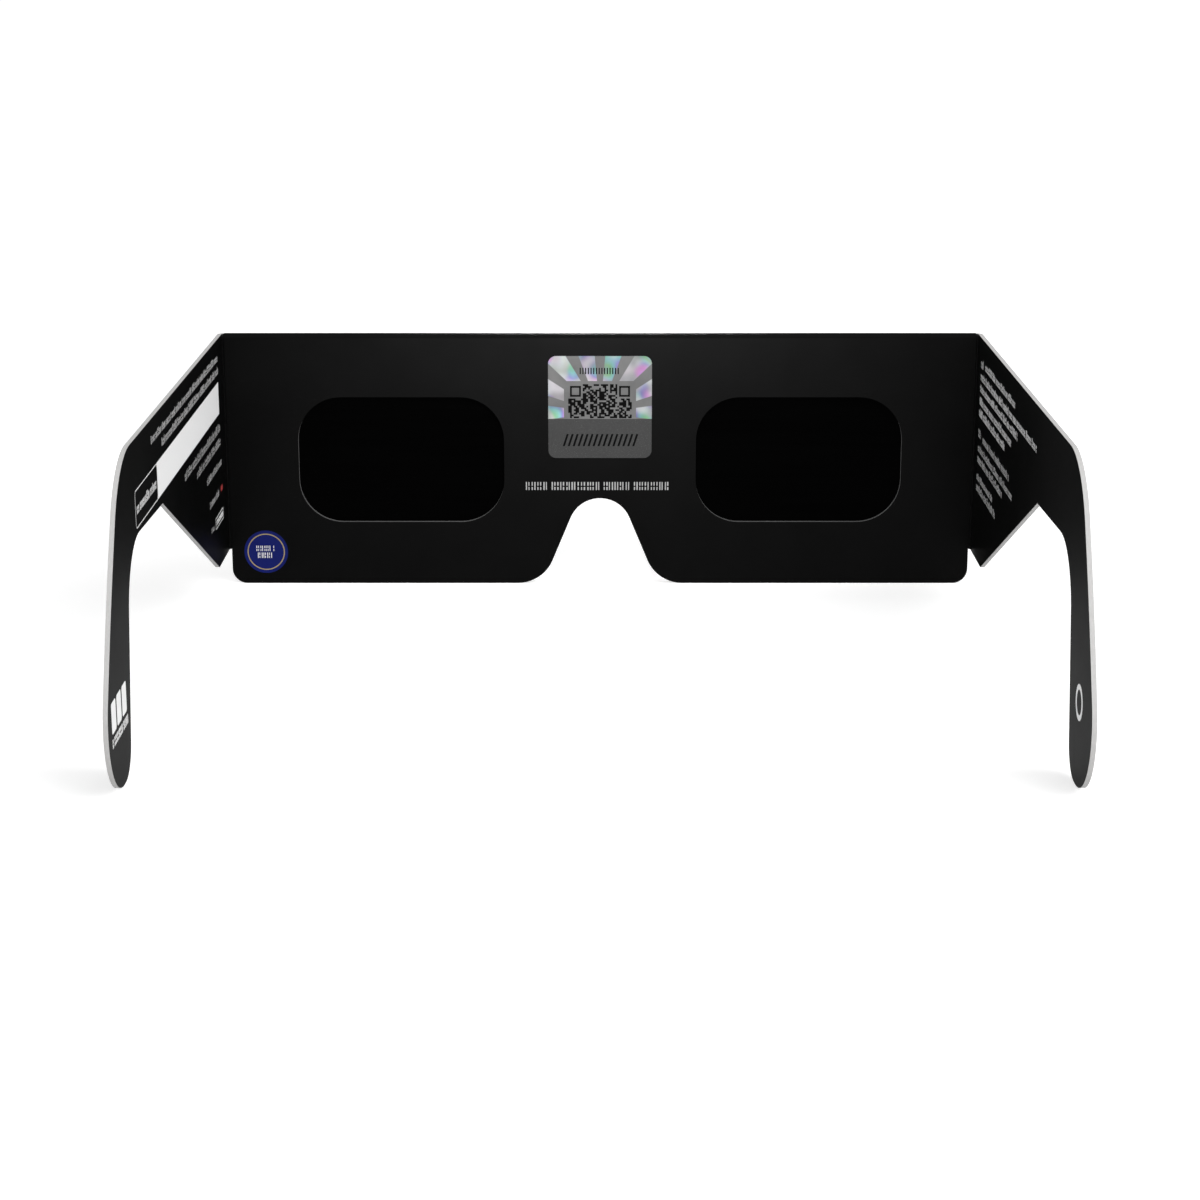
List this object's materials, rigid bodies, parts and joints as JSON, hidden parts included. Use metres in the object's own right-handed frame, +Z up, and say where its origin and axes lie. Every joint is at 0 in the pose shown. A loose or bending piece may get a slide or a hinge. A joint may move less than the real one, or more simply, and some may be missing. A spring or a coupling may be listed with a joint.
{
  "type": "eclipse glasses",
  "caption": "Folded card eclipse glasses: two-ply front with black filter films, a nose notch, and single-ply folding arms with ear hooks.",
  "frame": {"origin": "on the table, midway between the two arms and midway between the front panel's outer face and the back of the ear hooks", "axes": "+X to the wearer's right, +Y out of the front panel towards the sun, +Z up from the panel's bottom edge"},
  "size_m": [0.1424, 0.1276, 0.048],
  "materials": {
    "printed_card": "satin",
    "filter_film": "gloss",
    "glue": "satin",
    "label_foil": "satin",
    "scratch_coat": "matte"
  },
  "bodies": {
    "front": {"outer_panel": "printed_card", "inner_panel": "printed_card", "top_fold": "printed_card", "left_crease": "printed_card", "right_crease": "printed_card", "left_filter": "filter_film", "right_filter": "filter_film", "glue_line": "glue", "security_label": "label_foil", "scratch_panel": "scratch_coat"},
    "left_temple": {"left_arm": "printed_card"},
    "right_temple": {"right_arm": "printed_card"}
  },
  "joints": [
    {"name": "left_arm_fold", "type": "hinge", "parent": "front", "child": "left_temple", "pos_m": [-0.07005, 0.06263, 0.027], "axis": [0, 0, 1], "range_deg": [-90, 89.5], "deforming": ["left_crease"]},
    {"name": "right_arm_fold", "type": "hinge", "parent": "front", "child": "right_temple", "pos_m": [0.07005, 0.06263, 0.027], "axis": [0, 0, -1], "range_deg": [-90, 81.5], "deforming": ["right_crease"]}
  ]
}
